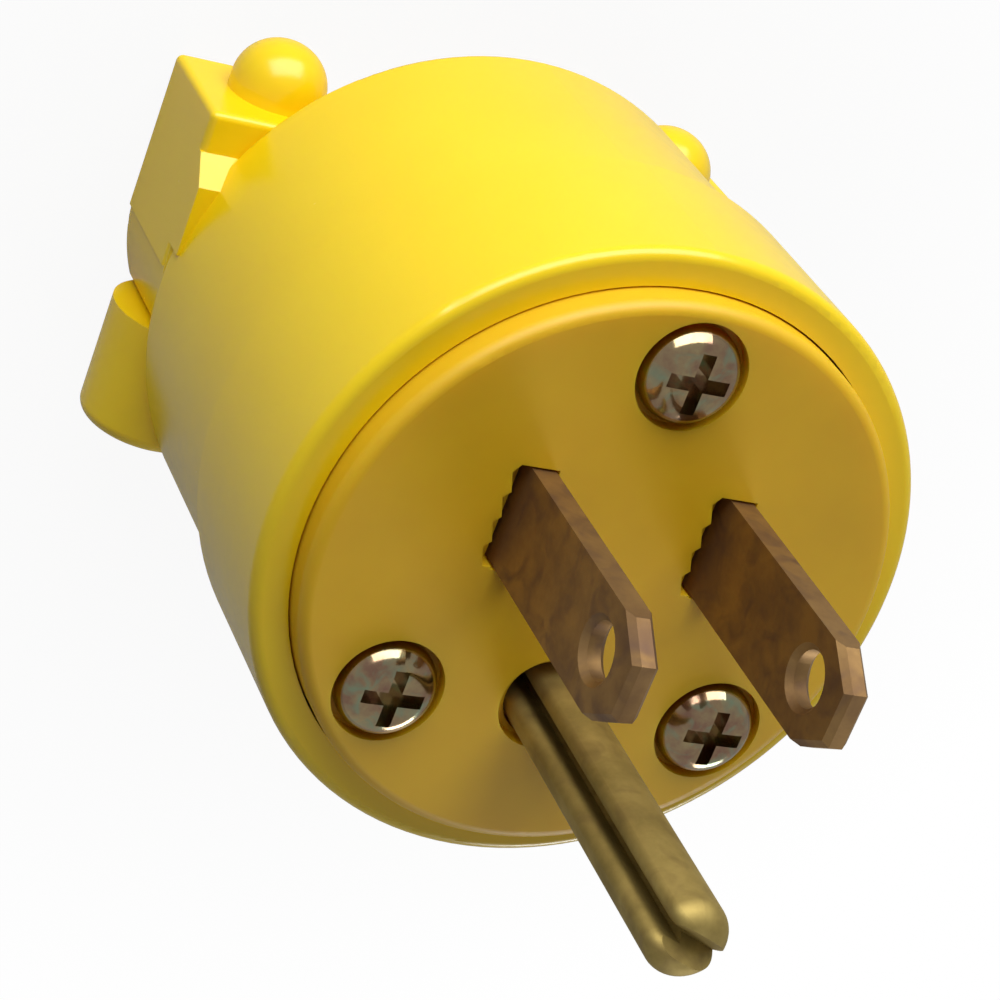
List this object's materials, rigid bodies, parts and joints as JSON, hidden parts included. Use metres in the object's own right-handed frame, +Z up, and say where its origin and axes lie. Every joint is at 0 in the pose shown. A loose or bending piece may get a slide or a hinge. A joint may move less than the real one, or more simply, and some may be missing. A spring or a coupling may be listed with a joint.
{
  "type": "type b plug",
  "caption": "Rewirable grounded plug: flat blades and a round ground pin in a screwed insulating disc, a round moulded shell, screw terminals inside and a screwed cord clamp at the rear",
  "frame": {"origin": "middle of the plug's flat rear end, on the barrel's axis, at the base it stands on", "axes": "+Z up, the way the prongs point; -Y away from the ground pin, which is on the +Y side; +X to the line blade's side"},
  "size_m": [0.04, 0.04, 0.0618],
  "materials": {
    "yellow_shell": "gloss",
    "amber_disc": "gloss",
    "dark_carrier": "matte",
    "brass_prong": "satin",
    "brass_screw": "satin",
    "nickel_screw": "satin",
    "green_screw": "satin",
    "zinc_steel": "satin",
    "brass_insert": "satin",
    "fibre_retainer": "matte",
    "black_rubber": "matte"
  },
  "bodies": {
    "root": {"rear_shell": "yellow_shell", "clamp_saddle": "yellow_shell", "clamp_screws": "zinc_steel", "clamp_nuts": "zinc_steel", "front_disc": "amber_disc", "terminal_carrier": "dark_carrier", "line_blade": "brass_prong", "neutral_blade": "brass_prong", "ground_pin": "brass_prong", "ground_strap": "brass_prong", "line_terminal_screw": "brass_screw", "neutral_terminal_screw": "nickel_screw", "ground_terminal_screw": "green_screw", "line_pressure_plate": "zinc_steel", "neutral_pressure_plate": "zinc_steel", "ground_pressure_plate": "zinc_steel", "face_screws": "zinc_steel", "thread_inserts": "brass_insert", "screw_retainers": "fibre_retainer", "cord_seal": "black_rubber"}
  },
  "joints": []
}
